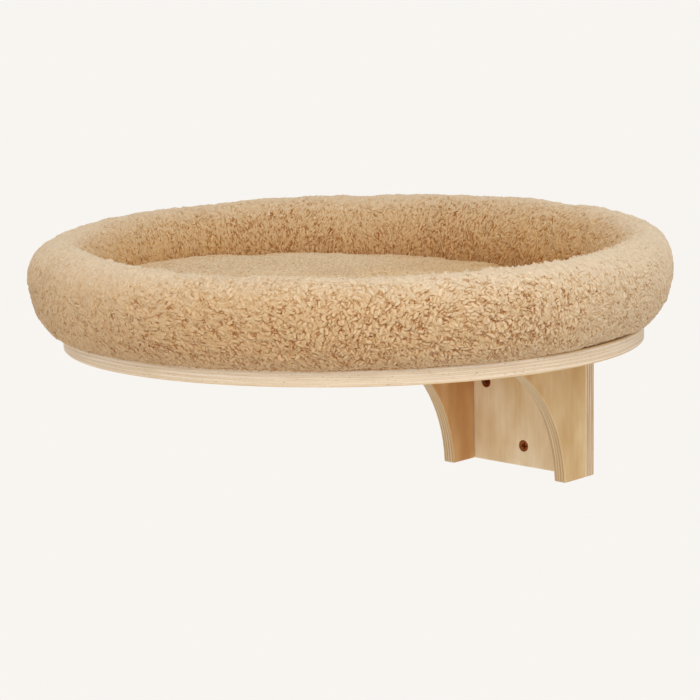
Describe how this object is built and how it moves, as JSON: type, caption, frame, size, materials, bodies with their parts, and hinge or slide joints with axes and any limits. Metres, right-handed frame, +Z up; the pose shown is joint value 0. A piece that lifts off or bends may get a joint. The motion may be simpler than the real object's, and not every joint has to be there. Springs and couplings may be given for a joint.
{
  "type": "wall-mounted cat bed",
  "caption": "Round plywood shelf on a coved plywood wall bracket, carrying a loose round plush pet bed with a raised bolster ring and a padded floor.",
  "frame": {"origin": "middle of the wall plate's back face, which lies on the wall", "axes": "+Y into the wall, -Y towards the room, +X to the right of someone facing the wall, +Z up"},
  "size_m": [0.496, 0.5015, 0.2371],
  "materials": {
    "birch_plywood": "matte",
    "bronze_screw": "satin",
    "zinc_screw": "satin",
    "plush": "matte",
    "floor_plush": "matte",
    "fibre_filling": "matte",
    "foam": "matte",
    "base_cloth": "matte",
    "hook_tape": "matte",
    "loop_tape": "matte"
  },
  "bodies": {
    "bracket": {"wall_plate": "birch_plywood", "corbel_left": "birch_plywood", "corbel_right": "birch_plywood", "shelf_board": "birch_plywood", "wall_screw_left": "bronze_screw", "wall_screw_right": "bronze_screw", "wall_screw_lower": "bronze_screw", "corbel_screw_left_upper": "zinc_screw", "corbel_screw_left_lower": "zinc_screw", "corbel_screw_right_upper": "zinc_screw", "corbel_screw_right_lower": "zinc_screw", "board_screw_left_back": "zinc_screw", "board_screw_left_front": "zinc_screw", "board_screw_right_back": "zinc_screw", "board_screw_right_front": "zinc_screw", "hook_pad_front": "hook_tape", "hook_pad_back": "hook_tape", "hook_pad_left": "hook_tape", "hook_pad_right": "hook_tape"},
    "bed": {"base_cloth": "base_cloth", "bolster_cover": "plush", "bolster_filling": "fibre_filling", "floor_cover": "floor_plush", "floor_foam": "foam", "loop_pad_front": "loop_tape", "loop_pad_back": "loop_tape", "loop_pad_left": "loop_tape", "loop_pad_right": "loop_tape"}
  },
  "joints": [
    {"name": "bed_lift", "type": "slide", "parent": "bracket", "child": "bed", "axis": [0, 0, 1], "range_m": [0, 0.15]}
  ]
}
